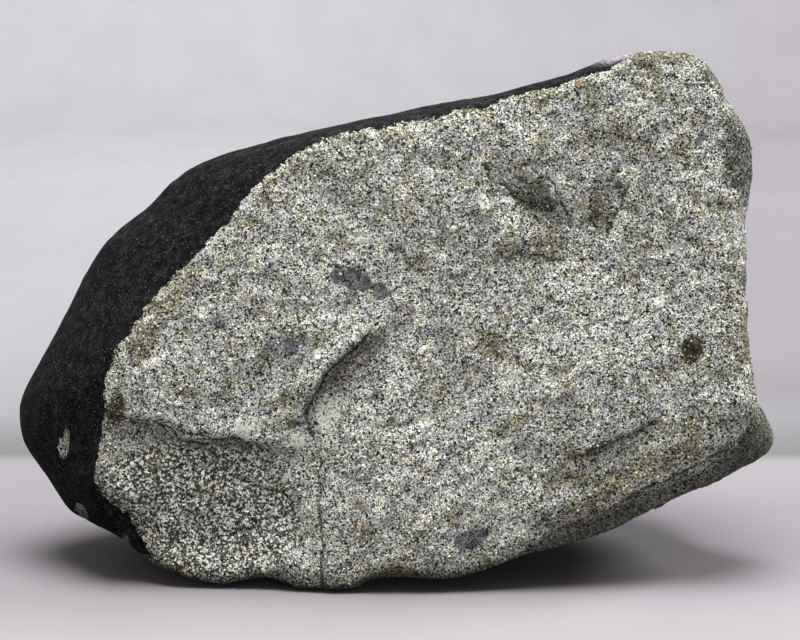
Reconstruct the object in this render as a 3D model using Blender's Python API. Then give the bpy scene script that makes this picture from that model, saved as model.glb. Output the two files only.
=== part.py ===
"""A broken stony meteorite: one stone, with a thin black crust over its left, top and back.

The stone is drawn in the frame of its broken front face. There x runs to the right, z up the face and
y into the stone, in millimetres, with the face near y = 0. The whole stone then leans back by LEAN_DEG
and stands on the small flats that the ground plane leaves on its lowest lumps.
"""

import math

import bmesh
import bpy
import numpy as np
from mathutils import Matrix, Vector, noise

MM = 0.001
NAME = "meteorite"

# Driving dimensions, in millimetres and degrees
LEAN_DEG = 8.0
BACK_DEPTH = 58.0
CENTRE = (3.0, 37.0)
BACK_SHIFT = (-4.0, 0.0)
GROUND = -0.4
TRIANGLES = 9400

# Rings of points: how many there are, and how far apart they turn
TURN_STEPS = 360
FACE_RINGS = 72
SWELL_RINGS = 16
BACK_RINGS = 84

# Edge of the broken face, as (x, z) round the stone from its right side upwards
FACE_RIM = [
    (47.9, 24.0), (47.6, 26.7), (46.8, 30.1), (46.4, 33.6), (46.1, 37.5), (45.9, 41.5),
    (46.1, 44.0), (45.9, 49.9), (46.3, 51.2), (46.8, 53.5), (47.2, 57.1), (46.8, 60.8),
    (46.0, 62.4), (44.9, 64.1), (43.7, 65.3), (42.5, 67.9), (41.6, 69.9), (40.8, 70.7),
    (39.5, 71.6), (36.8, 72.1), (34.0, 72.0), (32.4, 72.2), (30.7, 71.7), (28.4, 69.9),
    (25.9, 69.2), (21.6, 67.7), (18.8, 67.1), (13.6, 65.7), (11.2, 64.7), (7.9, 64.1),
    (4.9, 63.1), (0.5, 62.5), (-2.7, 61.7), (-7.1, 61.3), (-10.4, 60.4), (-13.1, 58.9),
    (-14.9, 57.6), (-19.3, 54.3), (-20.8, 52.3), (-22.7, 49.5), (-26.7, 45.5), (-28.8, 43.3),
    (-31.1, 41.6), (-33.2, 38.9), (-35.9, 34.7), (-37.9, 32.8), (-38.5, 30.0), (-39.5, 28.7),
    (-39.7, 26.5), (-39.6, 24.0), (-39.7, 21.3), (-40.3, 18.5), (-41.1, 16.1), (-40.9, 14.5),
    (-39.7, 12.5), (-36.5, 9.9), (-35.6, 8.0), (-33.7, 4.7), (-32.7, 3.2), (-29.6, 1.9),
    (-26.1, 0.9), (-24.4, 0.5), (-20.9, 1.3), (-19.3, 1.6), (-17.3, 2.3), (-16.0, 1.5),
    (-13.9, 0.1), (-11.9, 0.1), (-11.2, 0.7), (-8.7, 0.0), (-6.7, 0.1), (-3.5, 1.9),
    (-1.5, 2.5), (2.3, 1.9), (6.7, 1.7), (8.4, 2.5), (11.5, 3.1), (16.0, 4.8),
    (19.3, 7.6), (26.7, 10.5), (33.3, 13.3), (40.0, 15.6), (42.0, 17.3), (44.7, 18.9),
    (46.0, 20.3), (47.3, 22.4),
]

# Where the stone is widest behind that edge, as (x, z, y)
WIDEST = [
    (46.8, 26.4, 4.0), (45.3, 40.0, 2.5), (46.2, 57.0, 3.0), (43.0, 65.5, 3.0), (37.0, 71.5, 3.0),
    (30.9, 72.3, 3.0), (27.3, 71.3, 4.0), (21.9, 69.2, 5.0), (13.6, 67.0, 7.0), (6.1, 65.6, 8.0),
    (-5.1, 63.6, 10.0), (-16.3, 61.4, 12.0), (-21.5, 60.1, 13.0), (-25.0, 59.1, 13.0),
    (-27.8, 58.1, 14.0), (-30.0, 56.7, 14.0), (-32.2, 55.0, 15.0), (-35.5, 51.7, 16.0),
    (-37.7, 50.3, 17.0), (-41.9, 46.8, 18.0), (-44.3, 42.6, 19.0), (-46.8, 37.7, 20.0),
    (-49.5, 33.1, 21.0), (-51.5, 29.3, 21.0), (-53.1, 26.8, 21.0), (-53.9, 24.3, 21.0),
    (-54.1, 22.4, 21.0), (-53.4, 19.0, 20.0), (-51.6, 17.1, 18.0), (-48.3, 13.3, 15.0),
    (-45.5, 9.4, 12.0), (-42.6, 8.8, 10.0), (-40.7, 7.7, 8.0), (-38.3, 7.1, 7.0),
    (-36.4, 5.4, 5.0), (-33.1, 2.7, 3.0), (-20.0, 2.5, 3.0), (-8.0, 1.0, 3.0), (5.0, 2.5, 3.0),
    (15.0, 4.6, 4.0), (21.5, 5.8, 5.0), (27.4, 7.3, 7.0), (32.8, 9.8, 8.0), (37.8, 11.9, 9.0),
    (41.8, 13.7, 10.0), (44.8, 14.6, 11.0), (46.9, 16.2, 12.0), (50.5, 17.2, 15.0),
    (52.6, 18.1, 17.0), (52.4, 20.2, 17.0), (51.4, 22.0, 16.0), (49.6, 23.8, 14.0),
]

# How boxy the back is in each direction round the stone: (degrees, exponent)
FULLNESS = [(0, 3.6), (50, 2.9), (100, 2.5), (180, 2.3), (220, 2.8), (265, 4.2), (300, 4.0), (335, 3.6)]

# How far the edge of the face rolls back: (degrees, width, drop)
EDGE_ROLL = [
    (0, 1.8, 1.0), (14, 1.8, 1.0), (21, 3.6, 2.6), (31, 3.8, 2.6), (38, 1.6, 1.0), (50, 1.2, 0.5),
    (60, 0.8, 0.2), (200, 0.8, 0.2), (228, 1.4, 0.8), (262, 2.0, 1.2), (290, 2.0, 1.0),
    (322, 3.5, 1.4), (334, 7.0, 3.0), (346, 4.0, 2.0),
]

# Broad swellings and hollows of the face: (x, z, half width, half height, rise)
FACE_LOBES = [
    (26.5, 28.5, 8.5, 8.0, 1.0), (0.5, 14.0, 7.5, 11.0, 1.2), (-18.0, 39.5, 11.0, 9.0, 0.8),
    (4.0, 53.0, 13.0, 7.0, 0.7), (35.0, 63.0, 8.0, 7.0, 0.8), (21.5, 46.0, 5.5, 4.5, -1.2),
    (16.5, 33.0, 6.0, 7.0, -0.6), (40.0, 45.0, 6.0, 10.0, 0.5), (-33.0, 14.0, 6.0, 5.0, 0.7),
]

# Valleys of the face: (depth, half width, path)
FACE_VALLEYS = [
    (1.3, 3.2, [(11.0, 56.0), (15.5, 52.5), (19.5, 51.0), (23.5, 48.0)]),
    (1.1, 2.8, [(29.5, 55.0), (28.0, 51.0), (26.8, 46.5)]),
    (0.8, 2.4, [(7.5, 40.0), (5.5, 35.0), (7.5, 29.5), (10.5, 23.0), (14.0, 18.0), (21.5, 14.5),
                (32.0, 16.0)]),
]

# Broken steps of the face: (drop, reach, width of the cliff, path with the high side on its right)
FACE_STEPS = [
    (2.3, 7.0, 1.0, [(-1.6, 36.0), (-3.3, 34.0), (-6.4, 31.5), (-8.7, 29.3), (-10.4, 27.2), (-12.0, 25.2),
                     (-12.4, 22.9)]),
    (1.3, 4.0, 1.0, [(34.0, 22.7), (31.2, 21.2), (28.3, 19.9), (25.3, 18.7), (23.5, 18.1)]),
    (0.6, 4.5, 2.2, [(21.3, 45.0), (19.0, 45.6), (16.0, 45.5), (12.0, 46.5), (9.3, 44.5)]),
]

# Lower left of the face: a ledge above it, a crease on its right, and how it falls away
LEDGE = [
    (-45.0, 22.6), (-39.6, 22.3), (-36.0, 23.2), (-32.0, 22.3), (-26.7, 20.8), (-21.3, 20.5),
    (-11.0, 19.5),
]
CREASE = [(0.7, -11.2), (8.3, -10.4), (14.9, -10.9), (20.9, -12.0)]
LEDGE_DROP = 1.3
LEDGE_SLOPE = 0.17

# How far the lines of the face wander from their paths
WANDER = 0.6

# Unevenness of each kind of surface: (height, wavelength)
FACE_UNEVENNESS = [(0.50, 12.0), (0.20, 4.5)]
CRUST_UNEVENNESS = (0.9, 16.0)
BREAK_UNEVENNESS = (2.4, 11.0)

# Planes that flatten the crusted back: (direction, distance from the stone's middle, softness)
MIDDLE = (-2.0, 27.0, 36.0)
CRUST_PLANES = [
    ((-0.62, 0.72, 0.30), 33.0, 5.0),
    ((0.15, 0.70, 0.70), 33.0, 5.0),
    ((-0.30, 0.75, -0.60), 31.0, 4.5),
    ((0.10, 1.00, 0.05), 29.5, 5.0),
]

# Planes where the stone broke behind the face: its right flank and its underside
BREAK_PLANES = [
    ((0.99, 0.12, 0.04), 44.6, 1.0),
    ((0.72, 0.68, -0.20), 41.0, 1.5),
    ((0.30, 0.14, -0.94), 37.5, 1.2),
    ((0.00, 0.14, -0.99), 31.2, 1.2),
]

# Thumbprint hollows in the crust: (x, y, z, radius, sink)
THUMBPRINTS = [
    (-38.0, 34.0, 44.0, 11.0, 1.7), (-22.0, 44.0, 55.0, 10.0, 1.5), (-44.0, 38.0, 24.0, 10.0, 1.6),
    (-28.0, 50.0, 34.0, 12.0, 1.9), (-8.0, 55.0, 46.0, 11.0, 1.7), (-4.0, 40.0, 61.0, 10.0, 1.5),
    (8.0, 56.0, 28.0, 12.0, 1.9), (14.0, 42.0, 60.0, 10.0, 1.5), (-16.0, 55.0, 16.0, 11.0, 1.6),
    (26.0, 46.0, 46.0, 12.0, 1.7), (-36.0, 40.0, 10.0, 9.0, 1.4), (26.0, 30.0, 62.0, 9.0, 0.9),
]

# Lumps on the broken sides: (x, y, z, radius, rise)
LUMPS = [
    (-22.0, 8.0, 1.5, 6.0, 0.8),
    (30.0, 24.0, 9.0, 7.0, -1.6), (4.0, 20.0, 4.0, 9.0, -2.0), (-18.0, 26.0, 5.0, 8.0, -1.5),
    (44.0, 24.0, 38.0, 9.0, -2.2), (44.0, 30.0, 56.0, 8.0, 1.6), (45.0, 12.0, 58.0, 6.0, -1.0),
    (43.0, 38.0, 24.0, 8.0, 1.5), (12.0, 30.0, 6.0, 6.0, 1.2), (36.0, 36.0, 14.0, 8.0, -1.6),
    (44.0, 16.0, 47.0, 7.0, 1.6), (44.0, 14.0, 32.0, 6.0, -1.5), (43.0, 27.0, 29.0, 5.0, 1.4),
]

# Lumps under the back that carry the stone, laid out the same way
BACK_FEET = [(17.0, 42.0, 7.5, 8.0, 3.0), (-8.0, 41.0, 7.5, 7.0, 2.0)]


def smooth(x):
    x = np.clip(x, 0.0, 1.0)
    return x * x * (3.0 - 2.0 * x)


def blurred(values, steps):
    """Values round the stone, averaged over this many steps of the turn to each side."""
    kernel = np.hanning(2 * steps + 3)[1:-1]
    kernel /= kernel.sum()
    wrapped = np.concatenate([values[-steps:], values, values[:steps]])
    return np.convolve(wrapped, kernel, mode="valid")


def round_the_stone(rows, angles, steps):
    """Values of rows, each (radians, value), read at the angles and blurred a little."""
    rows = np.array(sorted(rows))
    return blurred(np.interp(angles, rows[:, 0], rows[:, 1], period=2.0 * math.pi), steps)


def straight_between(corners, pieces):
    """The corners of a closed outline with this many straight pieces between each two of them."""
    points = []
    for a, b in zip(corners, corners[1:] + corners[:1]):
        for k in range(pieces):
            points.append(tuple(p + (q - p) * k / pieces for p, q in zip(a, b)))
    return points


def polar(x, z):
    dx = x - CENTRE[0]
    dz = z - CENTRE[1]
    return math.atan2(dz, dx) % (2.0 * math.pi), math.hypot(dx, dz)


def to_path(x, z, path):
    """Signed distance to an open path, positive on its right side."""
    best = np.full(x.shape, 1e9)
    side = np.zeros(x.shape)
    for (ax, az), (bx, bz) in zip(path, path[1:]):
        length = math.hypot(bx - ax, bz - az)
        dx = (bx - ax) / length
        dz = (bz - az) / length
        along = np.clip((x - ax) * dx + (z - az) * dz, 0.0, length)
        gap = np.hypot(x - ax - along * dx, z - az - along * dz)
        cross = (x - ax) * dz - (z - az) * dx
        nearer = gap < best
        best = np.where(nearer, gap, best)
        side = np.where(nearer, np.sign(cross), side)
    return best * side


def near_path(x, z, path):
    """One along a path, fading to little at its ends."""
    (ax, az), (bx, bz) = path[0], path[-1]
    half = 0.45 * math.hypot(bx - ax, bz - az)
    away = np.hypot(x - (ax + bx) / 2.0, z - (az + bz) / 2.0)
    return np.exp(-((away / half) ** 4))


def fractal(x, y, z, wavelength, octaves):
    """Perlin noise of the given wavelength with finer octaves, for arrays of points."""
    flat = np.stack([np.broadcast_to(a, x.shape).ravel() for a in (x, y, z)], axis=1) / wavelength
    values = [noise.fractal(Vector(p), 0.9, 2.1, octaves) for p in flat]
    return np.array(values).reshape(x.shape)


def lower_left_hollow(x, z):
    ledge = np.array(LEDGE)
    crease = np.array(CREASE)
    below = np.interp(x, ledge[:, 0], ledge[:, 1]) - z
    left = np.interp(z, crease[:, 0], crease[:, 1]) - x
    fall = LEDGE_DROP * smooth(below / 1.4) + LEDGE_SLOPE * np.maximum(below, 0.0)
    near_crease = 0.35 + 0.65 * smooth(left / 9.0)
    toe = 1.0 - 0.5 * smooth((8.0 - z) / 7.0)
    return fall * toe * near_crease * smooth(left / 1.6 + 0.5)


def face_height(x, z, angles, inside):
    """How far the face stands towards the viewer. inside is the distance to its edge."""
    edge_x = x
    edge_z = z
    x = edge_x + WANDER * fractal(edge_x, np.full(x.shape, 31.0), edge_z, 5.0, 2)
    z = edge_z + WANDER * fractal(edge_x, np.full(x.shape, 47.0), edge_z, 5.0, 2)
    under_crust = smooth((z - 9.0) / 6.0) * (1.0 - smooth(inside / 5.0))
    height = -lower_left_hollow(x, z) * (1.0 - 0.75 * under_crust)
    for cx, cz, half_x, half_z, rise in FACE_LOBES:
        height += rise * np.exp(-((x - cx) / half_x) ** 2 - ((z - cz) / half_z) ** 2)
    for depth, half_width, path in FACE_VALLEYS:
        gap = to_path(x, z, path)
        height -= depth * near_path(x, z, path) * np.exp(-((gap / half_width) ** 2))
    for drop, reach, cliff, path in FACE_STEPS:
        gap = to_path(x, z, path)
        cliff_shape = smooth(gap / cliff + 0.5) - 0.5
        height += drop * near_path(x, z, path) * cliff_shape * np.exp(-((gap / reach) ** 2))
    roll = np.array(EDGE_ROLL)
    turn = np.degrees(angles)
    width = np.interp(turn, roll[:, 0], roll[:, 1], period=360.0)
    drop = np.interp(turn, roll[:, 0], roll[:, 2], period=360.0)
    height -= drop * np.clip(1.0 - inside / width, 0.0, 1.0) ** 2
    for rise, wavelength in FACE_UNEVENNESS:
        height += rise * fractal(x, np.full(x.shape, 3.0), z, wavelength, 2)
    return height


def flatten(points, planes, weight):
    """Pushes what stands outside each plane back to it, softly."""
    for direction, distance, softness in planes:
        normal = np.array(direction) / np.linalg.norm(direction)
        outside = (points - np.array(MIDDLE)) @ normal - distance
        push = softness * np.logaddexp(0.0, outside / softness) * weight
        points = points - push[..., None] * normal
    return points


def stone_rings():
    """Rings of points from the middle of the face, over its edge and round to the back."""
    angles = np.arange(TURN_STEPS) * 2.0 * math.pi / TURN_STEPS
    rim = round_the_stone([polar(x, z) for x, z in straight_between(FACE_RIM, 4)], angles, 1)
    polar_widest = [(*polar(x, z), y) for x, z, y in straight_between(WIDEST, 8)]
    widest = round_the_stone([(a, r) for a, r, _ in polar_widest], angles, 3)
    widest = np.maximum(widest, rim + 0.15)
    calm = blurred(widest, 14)
    depth = round_the_stone([(a, y) for a, _, y in polar_widest], angles, 3)
    fullness = round_the_stone([(math.radians(a), n) for a, n in FULLNESS], angles, 20)
    rings = []

    share = (np.arange(1, FACE_RINGS + 1) / FACE_RINGS)[:, None]
    radius = share * rim
    x = CENTRE[0] + radius * np.cos(angles)
    z = CENTRE[1] + radius * np.sin(angles)
    turned = np.broadcast_to(angles, radius.shape)
    height = face_height(x, z, turned, rim - radius)
    rings.append(np.stack([x, -height, z], axis=2))
    edge = -height[-1]
    calm_edge = blurred(edge, 14)
    depth = np.maximum(depth, blurred(edge, 4) + 2.5)

    share = (np.arange(1, SWELL_RINGS + 1) / SWELL_RINGS)[:, None]
    calm_rim = blurred(rim, 8)
    near_edge = (1.0 - share) ** 5
    swell = 1.0 - (1.0 - share) ** 1.8
    radius = calm_rim + (widest - calm_rim) * swell + (rim - calm_rim) * near_edge
    x = CENTRE[0] + radius * np.cos(angles)
    y = calm_edge + (depth - calm_edge) * share + (edge - calm_edge) * near_edge
    z = CENTRE[1] + radius * np.sin(angles)
    rings.append(np.stack([x, y, z], axis=2))

    turn = (np.arange(1, BACK_RINGS) / BACK_RINGS * math.pi / 2.0)[:, None]
    sunk = np.sin(turn) ** (2.0 / fullness)
    outline = widest + (calm - widest) * smooth(sunk * 2.2)
    radius = outline * np.cos(turn) ** (2.0 / fullness)
    y = depth + (BACK_DEPTH - depth) * sunk
    x = CENTRE[0] + BACK_SHIFT[0] * sunk + radius * np.cos(angles)
    z = CENTRE[1] + BACK_SHIFT[1] * sunk + radius * np.sin(angles)
    rings.append(np.stack([x, y, z], axis=2))
    return np.concatenate(rings), depth


def shape_back(points, depth):
    """Flattens and dents everything behind the face's edge, and returns how broken each point is."""
    behind = np.zeros(points.shape[:2])
    start = FACE_RINGS
    behind[start:] = smooth((points[start:, :, 1] - depth) / 8.0)
    points = flatten(points, CRUST_PLANES, behind)
    before = points
    points = flatten(points, BREAK_PLANES, behind)
    broken = smooth(np.linalg.norm(points - before, axis=2) / 1.0)
    broken[:start] = 1.0
    return points, broken, behind


def build_mesh(points):
    """Joins the rings with quads and closes both ends with fans."""
    bm = bmesh.new()
    front = bm.verts.new(points[0].mean(axis=0))
    rows = [[bm.verts.new(p) for p in ring] for ring in points]
    back = bm.verts.new(points[-1].mean(axis=0))
    for j in range(TURN_STEPS):
        after = (j + 1) % TURN_STEPS
        bm.faces.new((front, rows[0][j], rows[0][after]))
        bm.faces.new((back, rows[-1][after], rows[-1][j]))
        for inner, outer in zip(rows, rows[1:]):
            bm.faces.new((inner[j], outer[j], outer[after], inner[after]))
    bm.normal_update()
    return bm, rows


def roughen(rows, broken, behind):
    """Moves the sides and back along their normals: thumbprints, lumps and unevenness."""
    crust_rise, crust_wavelength = CRUST_UNEVENNESS
    break_rise, break_wavelength = BREAK_UNEVENNESS
    for ring in range(FACE_RINGS, len(rows)):
        for step, vert in enumerate(rows[ring]):
            p = vert.co.copy()
            rough = broken[ring, step]
            move = 0.0
            for x, y, z, radius, sink in THUMBPRINTS:
                gap = (p - Vector((x, y, z))).length / radius
                move -= (1.0 - rough) * sink * math.exp(-((gap * 1.5) ** 2))
            for x, y, z, radius, rise in LUMPS:
                gap = (p - Vector((x, y, z))).length / radius
                move += rough * rise * math.exp(-((gap * 1.3) ** 2))
            for x, y, z, radius, rise in BACK_FEET:
                gap = (p - Vector((x, y, z))).length / radius
                move += rise * math.exp(-((gap * 1.3) ** 2))
            move += crust_rise * (1.0 - rough) * noise.fractal(p / crust_wavelength, 1.0, 2.0, 2)
            elsewhere = p / break_wavelength + Vector((5.0, 0.0, 0.0))
            move += break_rise * rough * noise.fractal(elsewhere, 0.7, 2.2, 3)
            vert.co = p + vert.normal * move * behind[ring, step]


def stone_mesh():
    points, depth = stone_rings()
    points, broken, behind = shape_back(points, depth)
    bm, rows = build_mesh(points)
    roughen(rows, broken, behind)
    mesh = bpy.data.meshes.new(NAME)
    bm.to_mesh(mesh)
    bm.free()
    return mesh


def thinned(mesh):
    """The same surface with about TRIANGLES triangles, most of them where it bends."""
    obj = bpy.data.objects.new(NAME, mesh)
    bpy.context.scene.collection.objects.link(obj)
    triangles = sum(len(p.vertices) - 2 for p in mesh.polygons)
    modifier = obj.modifiers.new("Thin out", "DECIMATE")
    modifier.ratio = TRIANGLES / triangles
    bpy.context.view_layer.update()
    depsgraph = bpy.context.evaluated_depsgraph_get()
    result = bpy.data.meshes.new_from_object(obj.evaluated_get(depsgraph))
    bpy.data.objects.remove(obj)
    return result


def stand_up(mesh):
    """Leans the stone back, cuts its lowest lumps flat and moves its foot's middle to the origin."""
    mesh.transform(Matrix.Rotation(-math.radians(LEAN_DEG), 4, "X"))
    bm = bmesh.new()
    bm.from_mesh(mesh)
    geometry = bm.verts[:] + bm.edges[:] + bm.faces[:]
    on_ground = Vector((0.0, 0.0, GROUND))
    down = Vector((0.0, 0.0, -1.0))
    bmesh.ops.bisect_plane(bm, geom=geometry, plane_co=on_ground, plane_no=down, clear_outer=True)
    open_edges = [e for e in bm.edges if e.is_boundary]
    bmesh.ops.holes_fill(bm, edges=open_edges, sides=0)
    low = [min(v.co[k] for v in bm.verts) for k in range(3)]
    high = [max(v.co[k] for v in bm.verts) for k in range(3)]
    middle = Vector(((low[0] + high[0]) / 2.0, (low[1] + high[1]) / 2.0, GROUND))
    print("foot middle in the leaning frame, mm:", [round(c, 3) for c in middle])
    bmesh.ops.translate(bm, verts=bm.verts, vec=-middle)
    bmesh.ops.scale(bm, verts=bm.verts, vec=(MM, MM, MM))
    bmesh.ops.recalc_face_normals(bm, faces=bm.faces)
    bm.to_mesh(mesh)
    bm.free()


def stone_material():
    material = bpy.data.materials.new("broken_stone")
    material.use_nodes = True
    shader = material.node_tree.nodes["Principled BSDF"]
    shader.inputs["Base Color"].default_value = (0.30, 0.30, 0.26, 1.0)
    shader.inputs["Roughness"].default_value = 0.85
    shader.inputs["Metallic"].default_value = 0.0
    return material


def main():
    for obj in list(bpy.data.objects):
        bpy.data.objects.remove(obj)
    mesh = thinned(stone_mesh())
    stand_up(mesh)
    stone = bpy.data.objects.new(NAME, mesh)
    stone.data.materials.append(stone_material())
    bpy.context.scene.collection.objects.link(stone)


main()
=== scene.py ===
# %% [markdown]
# # A broken stony meteorite
# The object is one stone. A rounded black crust, melted on the way down, wraps its left, top and back.
# The front and the right side are a fresh break that shows the pale grey, speckled inside. The packed
# solid gives the main shape, so this lesson only dresses it: finer relief, grains and finishes.

# %% Load the packed stone
import math

import bmesh
import bpy
import numpy as np
from mathutils import Matrix, Vector
from mathutils.bvhtree import BVHTree


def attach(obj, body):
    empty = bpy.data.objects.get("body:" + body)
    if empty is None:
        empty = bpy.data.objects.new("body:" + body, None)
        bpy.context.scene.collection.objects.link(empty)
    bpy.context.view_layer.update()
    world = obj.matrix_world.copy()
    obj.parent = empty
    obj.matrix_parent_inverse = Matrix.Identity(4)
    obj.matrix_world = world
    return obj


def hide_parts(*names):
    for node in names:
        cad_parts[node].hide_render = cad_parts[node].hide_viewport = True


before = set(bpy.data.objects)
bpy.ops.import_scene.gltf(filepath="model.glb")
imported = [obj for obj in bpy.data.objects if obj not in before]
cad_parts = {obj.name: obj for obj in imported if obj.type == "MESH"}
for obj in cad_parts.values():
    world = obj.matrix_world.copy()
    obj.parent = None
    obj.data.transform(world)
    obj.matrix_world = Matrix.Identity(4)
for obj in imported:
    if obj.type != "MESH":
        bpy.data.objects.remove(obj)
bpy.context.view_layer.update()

# %% [markdown]
# ## The frame of the broken face
# Cracks, stains and clasts are easiest to place on the broken face itself: x to the right, z up the
# face and y into the stone, in millimetres. The stone leans back a little, so two small functions
# turn points between that frame and the world. A matrix could turn one point at a time, but arrays
# turn all of them at once.

# %% Turn points between the face and the world
LEAN = math.radians(8.0)
FOOT_MIDDLE = np.array((-0.912, 28.936, -0.4))
LEAN_BACK = np.array(Matrix.Rotation(-LEAN, 3, "X"))


def to_face(points):
    """World points in metres, as millimetres in the frame of the broken face."""
    return (np.asarray(points) * 1000.0 + FOOT_MIDDLE) @ LEAN_BACK


def to_world(points):
    """Millimetres in the frame of the broken face, as world points in metres."""
    return (np.asarray(points) @ LEAN_BACK.T - FOOT_MIDDLE) / 1000.0


print("middle of the face in the world:", to_world((0.0, 0.0, 36.0)).round(4))

# %% [markdown]
# ## Camera
# The picture was taken straight at the broken face, a little from above, with a long lens. A short
# lens close by would swell the middle of the stone, so the camera stands well back. It is placed in
# the face's own frame, because it looks along the face's y direction.

# %% Place the camera
EYE = (0.0, -326.0, 36.27)
camera_data = bpy.data.cameras.new("camera")
camera_data.lens = 110.0
camera_data.sensor_width = 36.0
camera_data.clip_start = 0.01
camera = bpy.data.objects.new("camera", camera_data)
camera.location = Vector(to_world(EYE))
look = Vector(to_world((0.0, 0.0, EYE[2]))) - camera.location
camera.rotation_euler = look.to_track_quat("-Z", "Y").to_euler()
bpy.context.scene.collection.objects.link(camera)
bpy.context.scene.camera = camera
print("camera height above the floor, mm:", round(camera.location.z * 1000, 1))

# %% [markdown]
# ## Noise for many points at once
# A broken rock has relief at every size. Two kinds of noise make it: smooth gradient noise for
# lumps, and cells, where each point belongs to its nearest seed, for grains and flat little breaks.
# A displacement texture could do it too, but then the other steps couldn't read it. Written with
# arrays, a hundred thousand points take a moment, and whole-number places give the same stone each run.

# %% Gradient noise and cells
FACTOR_X, FACTOR_Y, FACTOR_Z, FACTOR_LAST = (
    np.uint32(factor) for factor in (374761393, 668265263, 2246822519, 3266489917))
SEED_STEP = 7919
SEED_START = 17
OCTAVE_STEP = 2.03
NOISE_SPREAD = 1.5
FAR = 9.0


def hashed(cell, seed):
    """A number from 0 to 1 for each whole-number place."""
    c = cell.astype(np.int64).astype(np.uint32)
    h = c[..., 0] * FACTOR_X + c[..., 1] * FACTOR_Y + c[..., 2] * FACTOR_Z
    h = h + np.uint32(seed * SEED_STEP + SEED_START)
    h = (h ^ (h >> np.uint32(15))) * FACTOR_Z
    h = (h ^ (h >> np.uint32(13))) * FACTOR_LAST
    return (h ^ (h >> np.uint32(16))) / 2.0**32


def neighbours(first, last):
    """The whole-number steps from the first to the last along all three directions."""
    steps = range(first, last + 1)
    return [np.array((i, j, k)) for i in steps for j in steps for k in steps]


def gradient_noise(p, seed):
    """Smooth lumps about one unit wide."""
    base = np.floor(p)
    inside = p - base
    fade = inside**3 * (inside * (inside * 6.0 - 15.0) + 10.0)
    total = np.zeros(len(p))
    for step in neighbours(0, 1):
        slope = np.stack([hashed(base + step, seed + k) for k in (0, 1, 2)], axis=1) * 2.0 - 1.0
        weight = np.prod(np.where(step > 0, fade, 1.0 - fade), axis=1)
        total += weight * np.sum(slope * (inside - step), axis=1)
    return total * NOISE_SPREAD


def layered(p, wavelength, octaves, seed):
    """Noise of this wavelength in millimetres, with finer and weaker noise on top."""
    total = np.zeros(len(p))
    for octave in range(octaves):
        total += 0.5**octave * gradient_noise(p * OCTAVE_STEP**octave / wavelength, seed + 31 * octave)
    return total


def cells(p, size, seed):
    """For each point: distance to its seed, how much further the next one is, offset and number."""
    q = p / size
    base = np.floor(q)
    nearest = np.full(len(q), FAR)
    second = np.full(len(q), FAR)
    offset = np.zeros(q.shape)
    number = np.zeros(len(q))
    for step in neighbours(-1, 1):
        cell = base + step
        spot = cell + np.stack([hashed(cell, seed + k) for k in (0, 1, 2)], axis=1)
        away = q - spot
        gap = np.linalg.norm(away, axis=1)
        closer = gap < nearest
        second = np.where(closer, nearest, np.minimum(second, gap))
        nearest = np.where(closer, gap, nearest)
        offset = np.where(closer[:, None], away, offset)
        number = np.where(closer, hashed(cell, seed + 5), number)
    return nearest * size, (second - nearest) * size, offset * size, number


def smooth(x):
    """A smooth step from 0 at 0 to 1 at 1."""
    x = np.clip(x, 0.0, 1.0)
    return x * x * (3.0 - 2.0 * x)


def rise(values, start, width):
    """A smooth step from 0 at the start to 1 a width further on."""
    return smooth((values - start) / width)


def fall(values, end, width):
    """A smooth step from 1 down to 0 at the end, over the width before it."""
    return smooth((end - values) / width)


probe = np.random.default_rng(3).uniform(-50.0, 50.0, (4000, 3))
print("spread of the noise:", round(float(gradient_noise(probe / 7.0, 1).std()), 3))

# %% [markdown]
# ## An even skin
# The solid has large flat triangles. The skin starts as a copy of it with its loose triangles
# merged. Subdividing that copy would keep its long thin triangles, so a voxel remesh turns it into
# small even squares instead, and a little smoothing takes the facets away. Even squares matter,
# because every bump made later needs points to stand on.

# %% Remesh a copy of the solid
SQUARE = 0.00073


def plain_mesh(obj):
    """The object's mesh with its modifiers applied, as new data."""
    depsgraph = bpy.context.evaluated_depsgraph_get()
    return bpy.data.meshes.new_from_object(obj.evaluated_get(depsgraph))


def even_skin(node):
    """A closed skin of even squares round a solid."""
    mesh = node.data.copy()
    mesh.materials.clear()
    bm = bmesh.new()
    bm.from_mesh(mesh)
    bmesh.ops.remove_doubles(bm, verts=bm.verts, dist=1e-6)
    bm.to_mesh(mesh)
    bm.free()
    obj = bpy.data.objects.new("skin", mesh)
    bpy.context.scene.collection.objects.link(obj)
    remesh = obj.modifiers.new("Even squares", "REMESH")
    remesh.mode = "VOXEL"
    remesh.voxel_size = SQUARE
    calm = obj.modifiers.new("Calm the facets", "SMOOTH")
    calm.factor = 0.5
    calm.iterations = 4
    obj.data = plain_mesh(obj)
    obj.modifiers.clear()
    return obj


stone = even_skin(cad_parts["meteorite"])
stone.name = "stone"
print("squares on the skin:", len(stone.data.polygons))

# %% [markdown]
# ## Finer squares on the broken face
# The broken face is what the eye goes to, so its squares are halved once more. Halving them all
# would take the piece past 200,000 triangles for a back that is nearly smooth, so the rest of the
# stone keeps the larger ones.

# %% Halve the squares of the front
FRONT_REACH = 9.0
LEAST_FACING = 0.25


def refine_front(obj):
    """Halves the squares that lie near the face's plane and look towards the front."""
    mesh = obj.data
    bm = bmesh.new()
    bm.from_mesh(mesh)
    bm.normal_update()
    middles = to_face([f.calc_center_median() for f in bm.faces])
    facing = np.array([f.normal for f in bm.faces]) @ np.array((0.0, -1.0, 0.0))
    front = (middles[:, 1] < FRONT_REACH) & (facing > LEAST_FACING)
    edges = {e for f, wanted in zip(bm.faces, front) if wanted for e in f.edges}
    bmesh.ops.subdivide_edges(bm, edges=list(edges), cuts=1, use_grid_fill=True)
    bm.to_mesh(mesh)
    bm.free()


refine_front(stone)
print("triangles now:", sum(len(p.vertices) - 2 for p in stone.data.polygons))

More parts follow.
